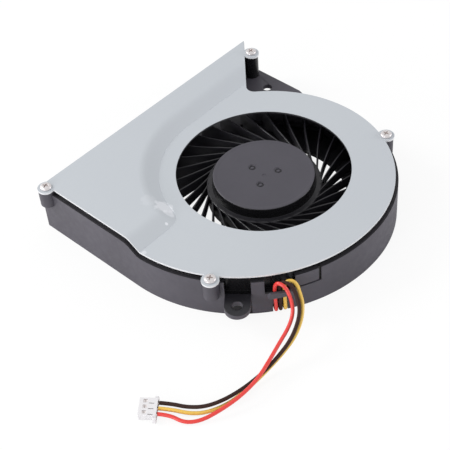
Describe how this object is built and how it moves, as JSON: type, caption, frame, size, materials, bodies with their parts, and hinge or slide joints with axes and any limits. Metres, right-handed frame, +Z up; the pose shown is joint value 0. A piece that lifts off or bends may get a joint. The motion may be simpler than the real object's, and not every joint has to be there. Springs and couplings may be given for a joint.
{
  "type": "dc blower fan",
  "caption": "Flat centrifugal blower with a sheet metal cover on a black volute, a bladed impeller on an outer-rotor motor, and thin leads to a small white plug.",
  "frame": {"origin": "on the impeller's axis at the underside of the base", "axes": "+Z up along the impeller's axis out of the inlet in the cover, +Y out of the air outlet, -X towards the straight side wall"},
  "size_m": [0.1054, 0.0762, 0.0154],
  "materials": {
    "housing_plastic": "satin moulded black plastic",
    "sheet_metal": "pale satin sheet",
    "screw_steel": "nickel plated",
    "impeller_plastic": "satin moulded black plastic",
    "yoke_steel": "drawn steel",
    "bonded_magnet": "bonded ferrite",
    "shaft_steel": "ground steel",
    "brass": "turned",
    "sintered_bronze": "sintered, oiled",
    "white_plastic": "natural nylon",
    "clear_nylon": "natural nylon",
    "silicon_steel": "laminated",
    "insulator_plastic": "moulded",
    "copper_wire": "enamelled copper",
    "circuit_board": "solder resist",
    "chip_plastic": "moulded",
    "ceramic_chip": "fired",
    "solder": "bright",
    "red_insulation": "extruded",
    "black_insulation": "extruded",
    "yellow_insulation": "extruded",
    "tin_plate": "tin plated"
  },
  "bodies": {
    "housing": {"base_housing": "housing_plastic", "base_plate": "housing_plastic", "top_cover": "sheet_metal", "cover_screws": "screw_steel", "bearing_tube": "brass", "sleeve_bearing": "sintered_bronze", "thrust_plate": "white_plastic", "shaft_retainer": "clear_nylon", "oil_seal": "clear_nylon", "stator_core": "silicon_steel", "insulator_upper": "insulator_plastic", "insulator_lower": "insulator_plastic", "stator_coils": "copper_wire", "motor_board": "circuit_board", "driver_chip": "chip_plastic", "board_parts": "ceramic_chip", "solder_joints": "solder", "preload_ring": "shaft_steel", "wire_red": "red_insulation", "wire_black": "black_insulation", "wire_yellow": "yellow_insulation", "connector_housing": "white_plastic", "crimp_terminals": "tin_plate"},
    "rotor": {"impeller": "impeller_plastic", "rotor_yoke": "yoke_steel", "rotor_magnet": "bonded_magnet", "rotor_shaft": "shaft_steel"}
  },
  "joints": [
    {"name": "impeller_spin", "type": "hinge", "parent": "housing", "child": "rotor", "pos_m": [0, 0, 0], "axis": [0, 0, 1], "continuous": true}
  ]
}
